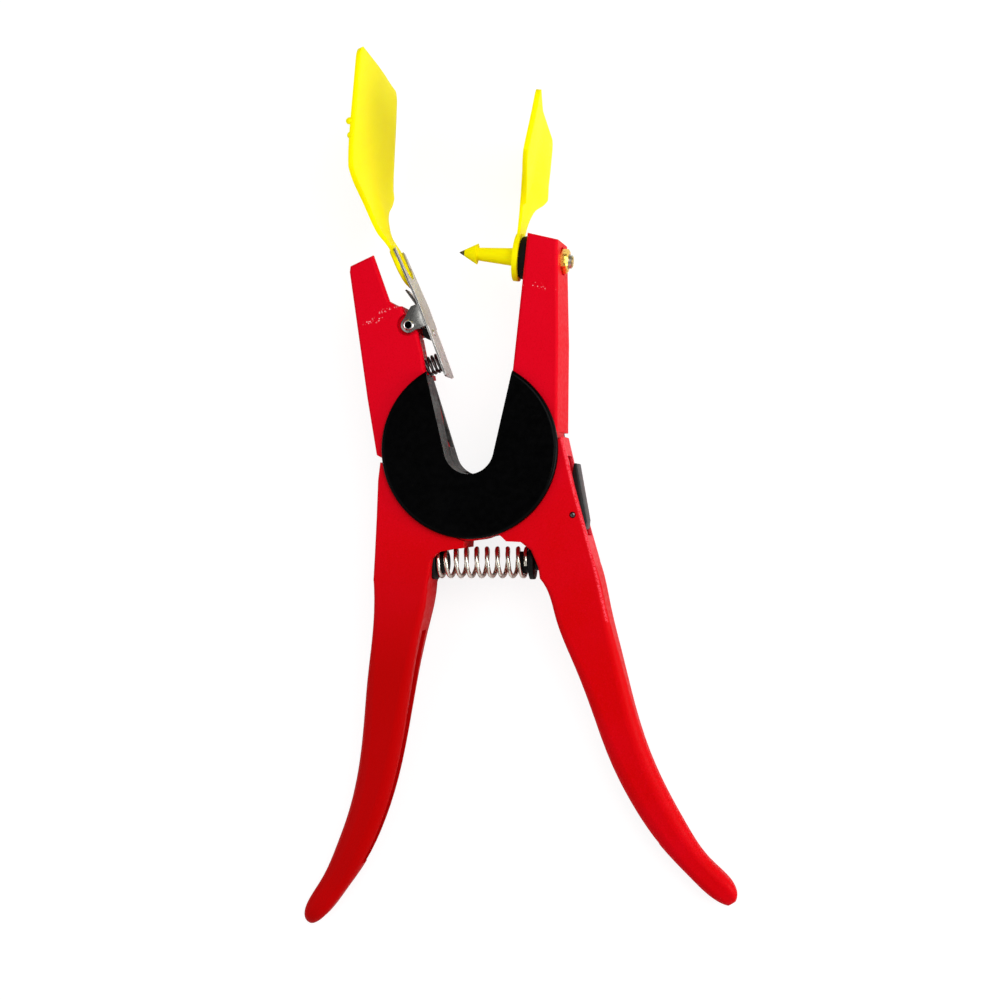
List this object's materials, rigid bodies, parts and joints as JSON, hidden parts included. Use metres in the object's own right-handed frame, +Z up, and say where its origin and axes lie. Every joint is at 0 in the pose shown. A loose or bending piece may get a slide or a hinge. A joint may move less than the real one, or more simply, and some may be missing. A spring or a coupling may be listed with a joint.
{
  "type": "ear tag applicator",
  "caption": "Ear tag pliers: red coated levers crossing at one covered pivot, a male ear tag on the jaw's pin, a female ear tag in a sprung clip, and a return spring.",
  "frame": {"origin": "middle of the bounding box's floor, with the tool lying on its back", "axes": "+X to the right lever, +Y towards the tags, +Z up out of the front face, which leans back by the lying pitch"},
  "size_m": [0.1642, 0.3234, 0.0731],
  "materials": {
    "red_coat": "powder coated, fine speckle",
    "black_cover": "moulded, semi gloss",
    "tag_yellow": "moulded polyurethane, satin",
    "nickel": "bright nickel plating",
    "steel": "turned steel",
    "dark_steel": "blackened steel",
    "brass": "machined",
    "bronze": "sintered, oiled",
    "black_plastic": "moulded, satin",
    "black_rubber": "matt"
  },
  "bodies": {
    "left_jaw_side": {"female_jaw_lever": "red_coat", "front_cover": "black_cover", "rear_cover": "black_cover", "pivot_bush": "bronze", "pivot_bolt": "steel", "pivot_washer": "steel", "pivot_nut": "steel", "spring_seat_right": "black_plastic", "return_spring": "nickel", "clip_pin": "nickel", "clip_spring": "dark_steel", "lock_pin": "dark_steel"},
    "right_jaw_side": {"male_jaw_lever": "red_coat", "spring_seat_left": "black_plastic", "applicator_pin": "steel", "pin_nut": "brass", "pin_washer": "black_rubber", "male_tag": "tag_yellow", "male_tag_point": "dark_steel"},
    "clip": {"female_tag": "tag_yellow", "clip_plate": "nickel", "clip_bracket": "nickel", "clip_pad": "black_rubber", "clip_rivet": "nickel"},
    "lock": {"lock_lever": "black_plastic"}
  },
  "joints": [
    {"name": "closing_hinge", "type": "hinge", "parent": "left_jaw_side", "child": "right_jaw_side", "pos_m": [-0.00236, -0.00871, 0.02208], "axis": [0.0042, -0.1134, 0.9935], "range_deg": [0, 20], "stiffness_Nm_per_rad": 1.9, "springref_deg": -20.05, "deforming": ["return_spring"]},
    {"name": "clip_hinge", "type": "hinge", "parent": "left_jaw_side", "child": "clip", "pos_m": [-0.02049, 0.05985, 0.02998], "axis": [-0.0042, 0.1134, -0.9935], "range_deg": [0, 8], "stiffness_Nm_per_rad": 0.3, "springref_deg": -11.46, "deforming": ["clip_spring"]},
    {"name": "lock_hinge", "type": "hinge", "parent": "left_jaw_side", "child": "lock", "pos_m": [0.03494, -0.01555, 0.02115], "axis": [-0.0042, 0.1134, -0.9935], "range_deg": [0, 30]}
  ]
}
